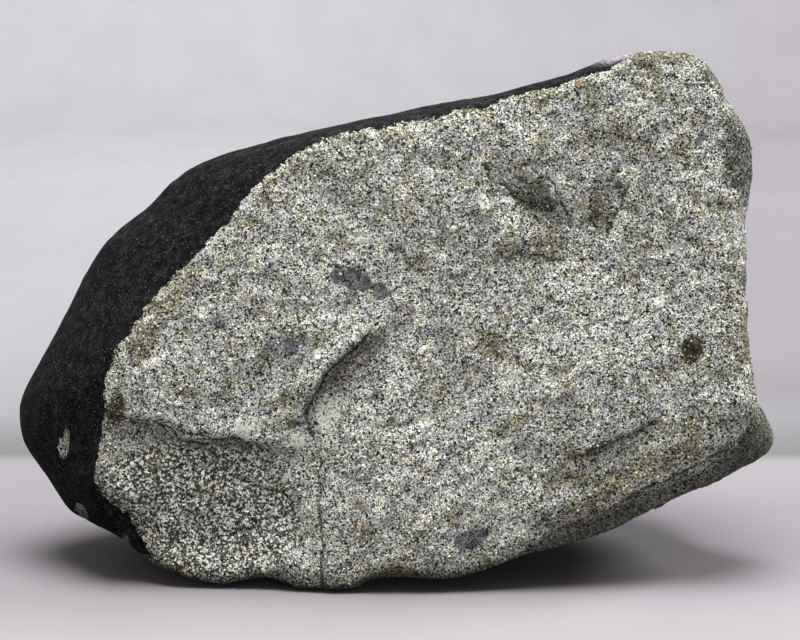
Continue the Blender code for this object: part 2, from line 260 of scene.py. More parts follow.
# %% [markdown]
# ## The skin as arrays
# Walking through the points one by one is slow in Python, so their places and normals are read into
# arrays in one go, in the frame of the face. A search tree of the same skin can tell later where a
# line of sight meets it.

# %% Read the skin as arrays
def vertex_array(mesh, what):
    """One vector for each point of a mesh: its place or its normal."""
    values = np.empty(len(mesh.vertices) * 3)
    mesh.vertices.foreach_get(what, values)
    return values.reshape(-1, 3)


skin_world = vertex_array(stone.data, "co")
height = skin_world[:, 2] * 1000.0
skin = to_face(skin_world)
skin_x, skin_y, skin_z = skin.T
normals = vertex_array(stone.data, "normal") @ LEAN_BACK
tree = BVHTree.FromPolygons([Vector(p) for p in skin], [p.vertices[:] for p in stone.data.polygons])
print("points on the skin:", len(skin))

# %% [markdown]
# ## Where the crust ends
# One number for each point says how far it is from the edge of the crust, in millimetres: above
# zero is crust, below zero is broken stone. It could be painted on the mesh by hand, but a distance
# also says where to cut the crust's thickness and where to stain the stone beside it. On the front
# the edge follows the rim of the face. Elsewhere the stone broke along a few planes, and it follows
# those.

# %% Distance to the edge of the crust
EDGE_LIMIT = 6.0
RIM_MIDDLE = np.array((3.0, 37.0))
RIM = [
    (46.8, 57.1), (44.9, 64.1), (40.8, 70.7), (36.8, 72.1), (30.7, 71.7), (28.4, 69.9), (25.9, 69.2),
    (21.6, 67.7), (18.8, 67.1), (13.6, 65.7), (11.2, 64.7), (7.9, 64.1), (4.9, 63.1), (0.5, 62.5),
    (-2.7, 61.7), (-7.1, 61.3), (-10.4, 60.4), (-13.1, 58.9), (-14.9, 57.6), (-19.3, 54.3),
    (-20.8, 52.3), (-22.7, 49.5), (-26.7, 45.5), (-28.8, 43.3), (-31.1, 41.6), (-33.2, 38.9),
    (-35.9, 34.7), (-37.9, 32.8), (-38.5, 30.0), (-39.5, 28.7), (-39.7, 26.5), (-39.6, 24.0),
    (-39.7, 21.3), (-40.3, 18.5), (-41.1, 16.1), (-40.9, 14.5), (-39.7, 12.5), (-36.5, 9.9),
    (-35.6, 8.0), (-33.7, 4.7), (-32.7, 3.2), (-24.4, 0.5), (-8.7, 0.0), (6.7, 1.7), (26.7, 10.5),
    (44.7, 18.9), (47.9, 24.0), (45.9, 41.5),
]
STONE_MIDDLE = np.array((-2.0, 27.0, 36.0))
BROKEN_SIDES = [
    ((0.99, 0.12, 0.04), 39.4), ((0.72, 0.68, -0.20), 38.6), ((0.30, 0.14, -0.94), 34.8),
    ((0.00, 0.14, -0.99), 28.9), ((0.55, -0.10, -0.83), 31.0), ((0.80, -0.35, 0.50), 53.0),
]


def past_rim(p):
    """How far a point lies outside the rim, seen from the front."""
    ends = np.array(RIM) - RIM_MIDDLE
    turn = np.arctan2(ends[:, 1], ends[:, 0])
    order = np.argsort(turn)
    radius = np.hypot(ends[:, 0], ends[:, 1])
    out = p[:, [0, 2]] - RIM_MIDDLE
    towards = np.arctan2(out[:, 1], out[:, 0])
    edge = np.interp(towards, turn[order], radius[order], period=2.0 * math.pi)
    return np.hypot(out[:, 0], out[:, 1]) - edge


def crust_edge(p):
    """Distance to the edge of the crust, which wavers a little, as a chipped edge does."""
    edge = np.maximum(past_rim(p), p[:, 1] - FRONT_REACH)
    wavy = 1.6 * layered(p, 9.0, 3, 11)
    for direction, distance in BROKEN_SIDES:
        side = np.array(direction) / np.linalg.norm(direction)
        edge = np.minimum(edge, distance - (p - STONE_MIDDLE) @ side + wavy)
    return edge + 0.35 * layered(p, 1.6, 3, 12)


crust = np.clip(crust_edge(skin), -EDGE_LIMIT, EDGE_LIMIT)
print("share of points under the crust:", round(float((crust > 0).mean()), 3))

# %% [markdown]
# ## Lines on the broken face
# The break isn't smooth: thin cracks run round a scoop near the top right, a ledge closes off the
# darker lower left, and a curved step crosses the middle. They could be sculpted, but short lists of
# points are easy to read and move. Each crack has a depth before its points, and each step has its
# drop, its reach and its width. The distance to a line later cuts a groove and darkens it.

# %% Cracks and ledges
GROOVE_WIDTH = 0.36
FRONT_DEPTH = 12.0
CRACKS = [
    (0.45, [(11.5, 56.8), (11.7, 55.2), (14.1, 53.9), (15.5, 52.7), (17.3, 51.7), (18.7, 51.5)]),
    (0.4, [(19.7, 55.2), (21.3, 53.1), (22.4, 50.4), (23.2, 48.8)]),
    (0.35, [(16.0, 45.5), (19.2, 44.5), (21.3, 44.3)]),
    (0.5, [(23.5, 18.1), (25.9, 18.9), (28.3, 19.9), (31.2, 21.2), (34.0, 22.7)]),
    (0.35, [(-39.0, 22.3), (-36.0, 23.2), (-32.0, 22.3), (-26.7, 20.8), (-21.3, 20.5)]),
    (0.55, [(-3.6, 34.9), (-6.9, 31.9), (-9.3, 29.5), (-11.0, 27.3), (-12.4, 24.6), (-12.3, 22.0),
            (-11.6, 20.4)]),
    (0.4, [(-10.6, 17.5), (-10.9, 12.3), (-10.5, 6.3), (-10.3, 0.9)]),
    (0.6, [(30.0, 12.2), (35.0, 14.6), (40.0, 16.9), (46.0, 20.1), (47.3, 22.3), (47.7, 25.0)]),
    (0.5, [(30.4, 54.1), (29.3, 51.7), (28.3, 49.6), (27.7, 47.7)]),
]
STEPS = [
    (0.6, 3.0, 0.9, [(-3.3, 34.3), (-6.4, 31.5), (-8.7, 29.3), (-10.4, 27.2), (-12.0, 25.2),
                     (-12.4, 22.4)]),
    (0.3, 3.0, 0.6, [(34.0, 22.7), (31.2, 21.2), (28.3, 19.9), (25.9, 18.9), (23.5, 18.1)]),
]


def to_line(p, line):
    """Distance in the face's plane to a line of points, and which side: 1 is its right."""
    flat = p[:, [0, 2]]
    best = np.full(len(p), np.inf)
    side = np.zeros(len(p))
    for a, b in zip(np.array(line), np.array(line[1:])):
        way = b - a
        along = np.clip((flat - a) @ way / (way @ way), 0.0, 1.0)
        gap = np.linalg.norm(flat - a - along[:, None] * way, axis=1)
        cross = (flat[:, 0] - a[0]) * way[1] - (flat[:, 1] - a[1]) * way[0]
        side = np.where(gap < best, np.sign(cross), side)
        best = np.minimum(best, gap)
    return best, side


wander = np.zeros(skin.shape)
wander[:, 0] = 0.45 * layered(skin, 2.6, 3, 41)
wander[:, 2] = 0.45 * layered(skin, 2.6, 3, 42)
on_front = skin_y < FRONT_DEPTH
crack = np.zeros(len(skin))
line_gap = np.full(len(skin), FAR)
for depth, line in CRACKS:
    gap, side = to_line(skin + wander, line)
    crack = np.maximum(crack, depth * np.exp(-((gap / GROOVE_WIDTH) ** 2)) * on_front)
    line_gap = np.where(gap < np.abs(line_gap), gap * side, line_gap)
step_rise = np.zeros(len(skin))
# Painted shade along the cliff of each step, which later joins the stone's painted shade.
painted_cliff_shade = np.zeros(len(skin))
for drop, reach, width, line in STEPS:
    gap, side = to_line(skin + wander * 0.6, line)
    ends = np.array((line[0], line[-1]))
    away = np.linalg.norm(skin[:, [0, 2]] - ends.mean(axis=0), axis=1)
    half_length = 0.5 * np.linalg.norm(ends[1] - ends[0])
    fade = np.exp(-((away / half_length) ** 6)) * on_front
    step_rise += drop * fade * (smooth(gap * side / width + 0.5) - 0.5) * np.exp(-((gap / reach) ** 2))
    painted_cliff_shade = np.maximum(painted_cliff_shade, fade * smooth(1.4 - gap / width))
print("points in a crack:", int((crack > 0.3).sum()))

# %% [markdown]
# ## Patches on the broken face
# Slate, blue-grey and pale clasts, two brown patches, small round spots, olive stains and rust spots
# sit at their own places. Some areas get painted shade, one gets painted light, and one is coarser. A
# painted picture could hold them, but a list keeps each one sharp and easy to move. Each is an
# ellipse: its middle, its half width and half height, and its turn in degrees, and a patch of painted
# shade ends with its amount. The outline wanders a little. The value is the distance inside it in
# millimetres, so its edge can be made sharp in the material.

# %% Clasts, stains, rust and painted shade
SLATE_CLASTS = [
    (-6.5, 41.6, 3.3, 1.5, -14), (-2.7, 40.0, 1.3, 1.0, -20), (9.5, 7.2, 2.3, 1.2, 25),
    (40.0, 60.3, 0.7, 1.2, -20), (29.2, 54.4, 0.6, 0.6, 0), (-14.6, 32.6, 1.0, 1.2, 30),
]
BLUE_CLASTS = [
    (-16.8, 32.8, 1.9, 2.0, 0), (-13.4, 32.0, 2.1, 1.8, 20), (-11.2, 44.4, 1.3, 0.9, 0),
    (18.7, 9.9, 1.7, 1.2, -20), (19.2, 52.0, 1.8, 1.7, -40), (-5.3, 15.6, 1.6, 1.3, 30),
    (20.7, 63.2, 1.1, 0.8, 0), (30.9, 28.3, 1.1, 0.8, 0), (32.5, 42.9, 0.8, 0.9, 0),
    (42.3, 62.4, 0.8, 0.6, 10), (-24.0, 36.0, 1.2, 0.9, 30), (-14.6, 29.6, 1.4, 0.9, 10),
    (-21.5, 47.0, 0.9, 0.7, 0), (-3.5, 26.0, 1.3, 1.0, 0),
]
PALE_CLASTS = [
    (-9.5, 23.9, 1.8, 2.6, -20), (-20.3, 21.9, 2.0, 1.7, 0), (-10.9, 31.9, 0.7, 0.7, 0),
    (21.0, 55.2, 1.1, 0.8, 0), (11.1, 52.2, 1.0, 0.9, 0), (14.6, 52.1, 1.1, 0.8, 0),
    (-13.7, 20.3, 1.3, 0.9, 0), (-26.6, 37.2, 1.0, 0.8, 0), (-33.0, 30.5, 1.1, 0.9, 20),
    (-5.0, 46.8, 0.9, 0.7, 0), (3.6, 22.4, 1.2, 0.8, 15), (34.3, 38.6, 1.0, 0.8, 0),
]
BROWN_PATCHES = [(-38.0, 24.3, 1.6, 2.0, 0), (38.9, 32.5, 1.9, 1.9, 0)]
OLIVE_STAINS = [
    (30.0, 60.5, 1.3, 0.7, 0), (28.7, 14.5, 3.3, 1.6, 20), (22.7, 14.9, 4.0, 1.1, 0),
    (36.0, 71.6, 4.0, 0.8, 0), (26.5, 50.5, 1.2, 2.4, 0), (20.2, 46.9, 2.2, 1.7, 0),
    (38.9, 22.5, 0.9, 1.7, 0), (38.6, 19.4, 1.7, 1.5, 0), (-30.0, 40.0, 4.2, 1.6, 48),
    (-34.0, 33.0, 3.0, 1.3, 60), (33.0, 17.0, 5.0, 1.4, 25),
]
ROUND_SPOTS = [
    (14.6, 48.6, 0.45, 0.5, 0), (16.1, 48.4, 0.6, 0.5, 0), (14.5, 44.4, 0.5, 0.5, 0),
    (11.1, 44.9, 0.35, 0.35, 0), (-14.3, 22.5, 0.8, 0.75, 0), (-16.2, 4.9, 0.5, 0.5, 0),
    (-0.6, 35.2, 0.4, 0.4, 0), (4.9, 33.0, 0.4, 0.35, 0), (9.0, 27.6, 0.45, 0.4, 0),
    (-4.8, 28.4, 0.35, 0.4, 0), (31.0, 46.6, 0.4, 0.4, 0), (-27.2, 26.4, 0.4, 0.45, 0),
]
COARSE_PLACE = (-27.0, 10.5, 15.5, 11.0, -6)
RUST_SPOTS = [
    (14.4, 36.3), (-15.6, 25.6), (-5.6, 11.6), (-5.1, 8.9), (4.0, 8.9), (1.6, 37.6), (22.3, 27.3),
    (23.7, 67.9), (-37.3, 3.3), (28.0, 53.7), (39.6, 33.2),
]
# Painted shade: soft patches where the face lies in shade, under the ledge, in the scoop and on facets
# turned away from the light. The last number is the amount.
PAINTED_SHADE_PATCHES = [
    (-28.0, 20.3, 10.0, 1.2, -6, 0.25), (18.2, 52.2, 4.4, 2.3, -38, 0.34),
    (26.5, 50.3, 1.4, 2.8, 8, 0.40), (45.3, 58.5, 2.2, 6.5, 8, 0.75), (35.0, 71.4, 6.5, 0.9, 0, 0.35),
    (42.4, 67.6, 0.9, 5.0, 35, 0.45), (46.6, 36.0, 0.8, 12.0, 2, 0.30),
    (22.5, 10.8, 6.0, 1.4, 25, 0.20), (7.2, 30.5, 1.6, 5.0, 20, 0.12), (17.3, 44.9, 4.5, 1.0, -8, 0.20),
    (-16.0, 1.8, 6.0, 1.4, 0, 0.20), (0.0, 64.0, 24.0, 1.2, 14, 0.12), (24.0, 14.0, 8.0, 1.2, 22, 0.14),
]
# Where the lower middle of the face gets painted light.
PAINTED_LIGHT_PLACE = (3.5, 11.0, 11.0, 5.5, 8)
RUST_HALF = (0.5, 0.45, 0)
PATCH_DEPTH = 11.0


def inside_patches(p, patches):
    """How far inside the nearest patch each point is, below zero outside."""
    best = np.full(len(p), -FAR)
    for x, z, half_x, half_z, turn in patches:
        c, s = math.cos(math.radians(turn)), math.sin(math.radians(turn))
        dx, dz = p[:, 0] - x, p[:, 2] - z
        reach = np.hypot((dx * c + dz * s) / half_x, (dz * c - dx * s) / half_z)
        best = np.maximum(best, (1.0 - reach) * min(half_x, half_z))
    best[p[:, 1] > PATCH_DEPTH] = -FAR
    return best


shaken = skin + wander
shaken_more = skin + wander * 2.0
slate = inside_patches(shaken, SLATE_CLASTS)
blue = inside_patches(shaken, BLUE_CLASTS)
pale = inside_patches(shaken, PALE_CLASTS)
brown = inside_patches(shaken, BROWN_PATCHES)
olive = inside_patches(shaken, OLIVE_STAINS)
rust = inside_patches(shaken, [(x, z, *RUST_HALF) for x, z in RUST_SPOTS])
spot = inside_patches(skin, ROUND_SPOTS)
coarse = rise(inside_patches(shaken_more, [COARSE_PLACE]), 0.0, 2.5)
# Painted light: the lower middle of the face is lifted, taken off the painted shade.
painted_light = 0.13 * rise(inside_patches(shaken_more, [PAINTED_LIGHT_PLACE]), -1.0, 3.0)
# Painted shade where the skin faces down, low on the stone, then in the patches of painted shade.
dark = 0.7 * rise(-normals[:, 2], 0.42, 0.35) * fall(skin_z, 26.0, 6.0)
for *place, amount in PAINTED_SHADE_PATCHES:
    reach = 1.0 - inside_patches(shaken_more, [place]) / min(place[2:4])
    dark = np.maximum(dark, amount * fall(reach, 1.35, 0.7))
print("points in clasts:", int((slate > 0).sum()), int((blue > 0).sum()), int((pale > 0).sum()))

# %% [markdown]
# ## Chips in the crust
# Three small flakes of crust are gone on the left, and the pale stone shows there. Their places on
# the curved side are hard to guess, but they are seen from the front, so a ray from the camera's eye
# finds where each lies on the skin. Round that point, the crust is taken away and the surface sinks
# by about the crust's thickness.

# %% Find the chips and open them
CHIPS = [(-44.8, 19.7, 0.8, 1.9, -12), (-42.6, 10.6, 0.9, 1.3, 25), (-36.7, 6.9, 0.7, 0.8, 0)]
CHIP_REACH = 6.0


def on_skin(x, z):
    """The point of the skin that the eye sees through (x, z) of the face's plane."""
    eye = Vector(EYE)
    hit = tree.ray_cast(eye, (Vector((x, 0.0, z)) - eye).normalized())[0]
    return np.array(hit)


on_plane = skin + wander * 0.6
on_plane[:, 1] = 0.0
chip = np.full(len(skin), -FAR)
for x, z, half_x, half_z, turn in CHIPS:
    place = on_skin(x, z)
    near = np.linalg.norm(skin - place, axis=1) < CHIP_REACH
    patch = (place[0], place[2], half_x, half_z, turn)
    chip = np.where(near, np.maximum(chip, inside_patches(on_plane, [patch])), chip)
    print("chip at", place.round(1))
crust = np.minimum(crust, -chip)

# %% [markdown]
# ## Painted shade on the rim and the nub
# Past the rim the stone turns away from the eye and the light, and painted shade darkens its broken
# surface there. The small nub at the lower right, which a groove parts from the face, and the right rim
# get painted shade too. Each is a product of smooth steps across, up and into the stone, so its place
# can be read from its numbers.

# %% Paint shade on the rim and the nub
# Amounts of painted shade past the rim, on the nub and at the right rim.
OUTSIDE_SHADE = 0.5
NUB_SHADE = 0.8
RIM_SHADE = 0.6

rim_gap = past_rim(skin)
nub_edge = np.exp(-(((rim_gap - 0.7) / 0.7) ** 2)) * rise(skin_x, 30.0, 6.0)
nub_edge *= fall(skin_z, 26.0, 3.0) * fall(skin_y, 9.0, 2.0)
outside = rise(rim_gap, 0.0, 0.8) * fall(skin_z, 24.0, 3.0) * rise(skin_x, 6.0, 4.0)
nub = rise(rim_gap, 0.3, 0.6) * fall(skin_z, 28.0, 3.0) * rise(skin_x, 40.0, 4.0)
at_rim = rise(rim_gap, -1.0, 0.8) * rise(skin_x, 30.0, 4.0)
at_rim *= rise(skin_z, 25.0, 3.0) * fall(skin_y, 7.0, 3.0)
for amount, shaded in ((OUTSIDE_SHADE, outside), (NUB_SHADE, nub), (RIM_SHADE, at_rim)):
    dark = np.maximum(dark, amount * shaded)
print("share of dark points:", round(float((dark > 0.3).mean()), 3))

# %% [markdown]
# ## Relief
# The crust is nearly smooth, with shallow ripples where it flowed. The broken stone is hackly: low
# lumps, little flat breaks that each lean their own way, grains, and small pits where grains fell
# out. A bump in the material would look flat at the edges, so the points themselves move along
# their normals. Beside the crust the broken stone lies lower by the crust's own thickness, cracks
# are cut in, and where the stone meets the floor nothing moves.

# %% Move the skin
CRUST_THICKNESS = 0.35
BREAK_SIZE = 2.4
GRAIN_SIZE = 0.95
PIT_SIZE = 1.9
PIT_SHARE = 0.28
FLAKE_DEPTH = 0.25


def crust_relief(p):
    """Shallow ripples, and finer ones on them."""
    return 0.16 * layered(p, 6.0, 3, 21) + 0.03 * layered(p, 1.3, 2, 22)


def broken_relief(p):
    """Lumps, leaning little breaks, grains and pits, all in millimetres of height."""
    lumps = 0.12 * layered(p, 5.0, 3, 23)
    _, _, offset, number = cells(p + 0.5 * layered(p, 2.0, 1, 24)[:, None], BREAK_SIZE, 25)
    lean = np.stack([np.cos(number * 40.0), np.sin(number * 55.0), np.sin(number * 70.0)], axis=1)
    breaks = 0.09 * np.sum(offset * lean, axis=1)
    near, _, _, size = cells(p, GRAIN_SIZE, 26)
    grains = 0.18 * (size - 0.25) * smooth(1.0 - near / 0.55)
    near, _, _, chance = cells(p, PIT_SIZE, 27)
    pits = -0.30 * (chance > 1.0 - PIT_SHARE) * smooth(1.0 - near / (0.35 + 0.3 * chance))
    return lumps + breaks + grains + pits


broken = smooth(0.5 - crust / 0.5)
groove = 0.75 * crack + 0.8 * nub_edge - step_rise
ledge = CRUST_THICKNESS * smooth(0.5 - crust / 0.6) * np.exp(np.minimum(crust, 0.0) / 1.8)
move = (1.0 - broken) * crust_relief(skin) + broken * (broken_relief(skin) - groove) - ledge
rim_push = 0.15 * rise(skin_x, 40.0, 4.0) * rise(skin_z, 22.0, 4.0)
top_push = 0.25 * np.exp(-(((skin_x - 3.0) / 8.0) ** 2)) * rise(skin_z, 56.0, 4.0)
move += 0.05 + 0.13 * broken + rim_push + top_push - FLAKE_DEPTH * smooth(chip / 0.5)
off_floor = rise(height, 0.05, 1.2)
moved_skin = skin + normals * (move * off_floor)[:, None]
stone.data.vertices.foreach_set("co", to_world(moved_skin).ravel())
stone.data.update()
print("relief from", move.min().round(2), "to", move.max().round(2), "mm")

# %% [markdown]
# ## Values for the material
# The material can't know where the rim is, so each point carries the numbers worked out above as
# named attributes. A picture unwrapped over the stone could hold them, but would blur every edge.
# Smooth shading is kept everywhere, since the relief is in the mesh. The value "broken" says where
# loose grains may stand: on bare stone, off the floor, off the crust and off the smooth clasts.

# %% Store the attributes
PAINTED_SHEEN_PLACE = (29.6, 72.2, 3.4, 1.1, 22)


def store(mesh, name, values):
    """Writes one number for each point of the mesh."""
    attribute = mesh.attributes.new(name, "FLOAT", "POINT")
    attribute.data.foreach_set("value", np.asarray(values, dtype=np.float32))


bare = broken * rise(-crust, 0.3, 0.5) * (1.0 - 0.7 * dark) * rise(height, 0.6, 1.0)
bare *= 1.0 - 0.9 * rise(np.maximum(slate, np.maximum(brown, spot)), -0.4, 0.5)
# A painted highlight at the top edge of the crust.
sheen = rise(inside_patches(skin * (1.0, 0.0, 1.0), [PAINTED_SHEEN_PLACE]), -0.5, 1.0)
sheen *= fall(skin_y, 5.0, 3.0) * (crust > -0.6)
# Among these, the shade is painted shade less the painted light, and the sheen a painted highlight.
for name, values in {
    "crust": crust, "slate": slate, "blue": blue, "pale": pale, "brown": brown, "olive": olive,
    "rust": rust, "crack": crack, "line_gap": line_gap, "spot": spot, "coarse": coarse, "sheen": sheen,
    "dark": np.maximum(dark, 0.4 * painted_cliff_shade) - painted_light, "broken": bare,
}.items():
    store(stone.data, name, values)
stone.data.polygons.foreach_set("use_smooth", np.ones(len(stone.data.polygons), dtype=bool))
print("attributes:", [a.name for a in stone.data.attributes if a.data_type == "FLOAT"])

# %% [markdown]
# ## Shader maths as plain expressions
# A material is a sum of many small steps. Nodes can be dragged together by hand, but hundreds of
# them are hard to read. This class wraps one socket of a node, so that `1 - mask * 0.5` adds the Math
# nodes by itself. Any other node comes from `node`, which sets the node's own settings first and then
# its sockets, by value or by link.

# %% The expression class
class Value:
    """One output socket of a material, which can be used in a sum."""

    def __init__(self, tree, socket):
        self.tree = tree
        self.socket = socket

    def node(self, kind, settings=None, inputs=None, output=0):
        """A new node of this kind, as the value of one of its outputs."""
        made = self.tree.nodes.new(kind)
        for name, value in (settings or {}).items():
            if name == "stops":
                self.set_stops(made.color_ramp, value)
            else:
                setattr(made, name, value)
        for name, value in (inputs or {}).items():
            if isinstance(value, Value):
                self.tree.links.new(value.socket, made.inputs[name])
            else:
                made.inputs[name].default_value = value
        return Value(self.tree, made.outputs[output])

    @staticmethod
    def set_stops(ramp, stops):
        while len(ramp.elements) < len(stops):
            ramp.elements.new(0.5)
        for element, (position, colour) in zip(ramp.elements, stops):
            element.position = position
            element.color = (*colour, 1.0)

    def maths(self, operation, *values):
        return self.node("ShaderNodeMath", {"operation": operation}, dict(enumerate(values)))

    def __add__(self, other):
        return self.maths("ADD", self, other)

    def __sub__(self, other):
        return self.maths("SUBTRACT", self, other)

    def __mul__(self, other):
        return self.maths("MULTIPLY", self, other)

    def __truediv__(self, other):
        return self.maths("DIVIDE", self, other)

    def __rsub__(self, other):
        return self.maths("SUBTRACT", other, self)

    def __abs__(self):
        return self.maths("ABSOLUTE", self)

    __radd__ = __add__
    __rmul__ = __mul__

    def clamp(self):
        return self.node("ShaderNodeClamp", {}, {"Value": self})

    def step(self, low, high):
        """A smooth step from 0 at low to 1 at high."""
        settings = {"interpolation_type": "SMOOTHSTEP"}
        values = {"Value": self, "From Min": low, "From Max": high}
        return self.node("ShaderNodeMapRange", settings, values)

    def attribute(self, name):
        return self.node("ShaderNodeAttribute", {"attribute_name": name}, {}, "Fac")

    def scaled(self, factor):
        return self.node("ShaderNodeVectorMath", {"operation": "SCALE"}, {0: self, "Scale": factor})

    def moved(self, by):
        """This position moved by a vector."""
        return self.node("ShaderNodeVectorMath", {"operation": "ADD"}, {0: self, 1: by})

    def noise(self, size, detail=2.0, roughness=0.5, seed=0.0):
        """Noise of about this size in millimetres, read at this position."""
        values = {"Vector": self.moved((seed, seed, seed)), "Scale": 1.0 / size,
                  "Detail": detail, "Roughness": roughness}
        return self.node("ShaderNodeTexNoise", {}, values, "Fac")

    def beside(self, output):
        """Another output of the node that made this value."""
        return Value(self.tree, self.socket.node.outputs[output])

    def grains(self, size):
        """Distance to the middle of the nearest grain, and two numbers of the grain's own."""
        near = self.node("ShaderNodeTexVoronoi", {}, {"Vector": self, "Scale": 1.0 / size}, "Distance")
        own = self.node("ShaderNodeSeparateColor", {}, {"Color": near.beside("Color")}, "Red")
        return near * size, own, own.beside("Green")

    def dots(self, size, radius, share):
        """Dots of this radius in millimetres, in a share of the grains of this size."""
        near, chance, _ = self.grains(size)
        return near.step(radius, 0.55 * radius) * (share - chance).step(0.0, 0.03)

    def threads(self, size, width, seed):
        """Thin lines that wander, where noise passes through its middle."""
        middle = self.noise(size, 1.0, 0.5, seed) - 0.5
        return abs(middle).step(width / size, 0.3 * width / size)

    def ragged(self, amount):
        """Noise round zero that frays an edge by about this many millimetres."""
        return (self.noise(0.6, 2.0, 0.6, 3.0) - 0.5) * amount

    def ramp(self, stops):
        """The colour that the stops give this value."""
        return self.node("ShaderNodeValToRGB", {"stops": stops}, {"Fac": self})

    def tinted(self, amount, colour, blend="MIX"):
        """This colour mixed towards another by an amount."""
        settings = {"data_type": "RGBA", "blend_type": blend}
        other = colour if isinstance(colour, Value) else (*colour, 1.0)
        return self.node("ShaderNodeMix", settings, {0: amount, 6: self, 7: other}, 2)

    def bumped(self, strength):
        """The normal that this height in millimetres gives the surface."""
        values = {"Strength": strength, "Distance": 0.001, "Height": self}
        return self.node("ShaderNodeBump", {}, values, "Normal")


def new_material(name):
    """An empty material, its Principled shader and its position in millimetres."""
    material = bpy.data.materials.new(name)
    material.use_nodes = True
    nodes = material.node_tree
    shader = nodes.nodes["Principled BSDF"]
    place = nodes.nodes.new("ShaderNodeTexCoord")
    return material, shader, Value(nodes, place.outputs["Object"]).scaled(1000.0)


def feed(shader, **sockets):
    """Links or sets the shader's sockets. An underscore in a name stands for a space."""
    for name, value in sockets.items():
        socket = shader.inputs[name.replace("_", " ")]
        if isinstance(value, Value):
            value.tree.links.new(value.socket, socket)
        else:
            socket.default_value = value


print("kinds of step in a material:", [name for name in vars(Value) if not name.startswith("_")])

# %% [markdown]
# ## The ground of the broken stone
# Fresh chondrite is pale grey, and bluer, creamier or more olive from one spot to the next, most of
# all near the crust. A ramp on slow noise gives those areas. The clasts lie on this ground. Their
# edges come from the distances stored above, frayed with noise, because a clean ellipse would look
# drawn.

# %% Colours of the ground and the clasts
def srgb(*values):
    """A colour given as 0 to 255 on the screen, as the linear numbers a shader wants."""
    return tuple(((v / 255.0 + 0.055) / 1.055) ** 2.4 if v > 10 else v / 3294.6 for v in values)


IN_SHADE = srgb(122, 123, 114)


def ground_colour(p):
    """The slow colours under the grains: blue-grey, pale and olive areas of a few millimetres."""
    colour = p.noise(1.5, 3.0, 0.62, 13.0).ramp([
        (0.28, srgb(206, 213, 218)), (0.42, srgb(226, 230, 228)), (0.53, srgb(240, 241, 232)),
        (0.63, srgb(248, 247, 230)), (0.76, srgb(228, 225, 197)),
    ])
    olive = p.noise(4.2, 4.0, 0.7, 5.0).step(0.50, 0.66)
    blotches = p.noise(3.0, 3.0, 0.65, 6.0).step(0.38, 0.60)
    near_crust = p.attribute("crust").step(-5.5, -0.5) * blotches
    olive = (olive + p.attribute("olive").step(-0.8, 0.6) * 0.9 + near_crust * 0.7).clamp()
    return colour.tinted(olive * 0.6, srgb(190, 178, 128), "MULTIPLY"), olive


def patches_on(colour, p):
    """The clasts that show in the picture, and how much each hides the pepper over it."""
    ragged = p.ragged(1.0) + (p.noise(1.8, 2.0, 0.6, 4.0) - 0.5) * 1.2
    slate = (p.attribute("slate") + ragged).step(-0.1, 0.15)
    blue = (p.attribute("blue") + ragged).step(-0.2, 0.6)
    colour = colour.tinted(blue * 0.6, srgb(118, 125, 138))
    flecks = [(0.40, srgb(50, 53, 62)), (0.60, srgb(106, 111, 123))]
    colour = colour.tinted(slate * 0.9, p.noise(0.45, 2.0, 0.7, 41.0).ramp(flecks))
    pale = (p.attribute("pale") + ragged * 0.5).step(-0.1, 0.2)
    colour = colour.tinted(pale * 0.7, srgb(214, 215, 202))
    brown = (p.attribute("brown") + ragged).step(-0.2, 0.5)
    colour = colour.tinted(brown * 0.95, srgb(68, 56, 44))
    pink_dots = p.moved((2.0, 8.0, 4.0)).dots(0.42, 0.17, brown * 0.45)
    colour = colour.tinted(pink_dots * 0.85, srgb(236, 216, 194))
    spot = (p.attribute("spot") + (p.noise(0.4, 1.0, 0.5, 6.0) - 0.5) * 0.3).step(-0.02, 0.12)
    colour = colour.tinted(spot * 0.85, srgb(70, 70, 68))
    return colour, (slate * 0.4 + pale * 0.7 + spot * 0.6).clamp()


# %% [markdown]
# ## Salt and pepper
# Dark metal and sulphide fill the gaps between the pale grains, so the stone reads as salt and
# pepper. Plain noise would give soft clouds. Voronoi cells give each grain an edge and a tone of its
# own, and lines where noise passes through its middle give the thin dark threads between them. The
# coarse lower left gets larger pale clumps in a dark matrix first. Rust, painted shade and cracks come
# last.

# %% Colour of the grains and threads
def pepper_on(colour, p, calm, busy):
    """Dark grains and thin dark seams between pale ones, thicker where the stone is busy."""
    ripple = p.node("ShaderNodeTexNoise", {}, {"Vector": p, "Scale": 5.0, "Detail": 0.0}, "Color")
    shifted = p.moved(ripple.scaled(0.25))
    few = 1 - calm
    _, number, _ = shifted.grains(0.205)
    tone = (number + calm * 0.14 - busy * 0.12).ramp([
        (0.06, srgb(22, 22, 18)), (0.17, srgb(92, 92, 86)), (0.24, srgb(214, 215, 211)),
        (0.60, srgb(240, 241, 237)), (0.82, srgb(255, 255, 255)),
    ])
    colour = colour.tinted(1.0, tone, "MULTIPLY")
    threads = p.threads(0.28, 0.034, 21.0)
    colour = colour.tinted(threads * few * 0.75, srgb(50, 50, 43), "MULTIPLY")
    seams = (p.threads(0.48, 0.10, 3.0) + p.threads(0.9, 0.12, 9.0)).clamp() * (busy * 0.6 + 0.1)
    colour = colour.tinted(seams * few * 0.7, srgb(44, 44, 38))
    middling = shifted.dots(0.50, 0.20, 0.02 + busy * 0.22)
    colour = colour.tinted(middling * few * 0.9, srgb(38, 37, 30))
    large = shifted.dots(1.25, 0.36, 0.06 + busy * 0.12)
    return colour.tinted(large * few * 0.8, srgb(50, 46, 38))


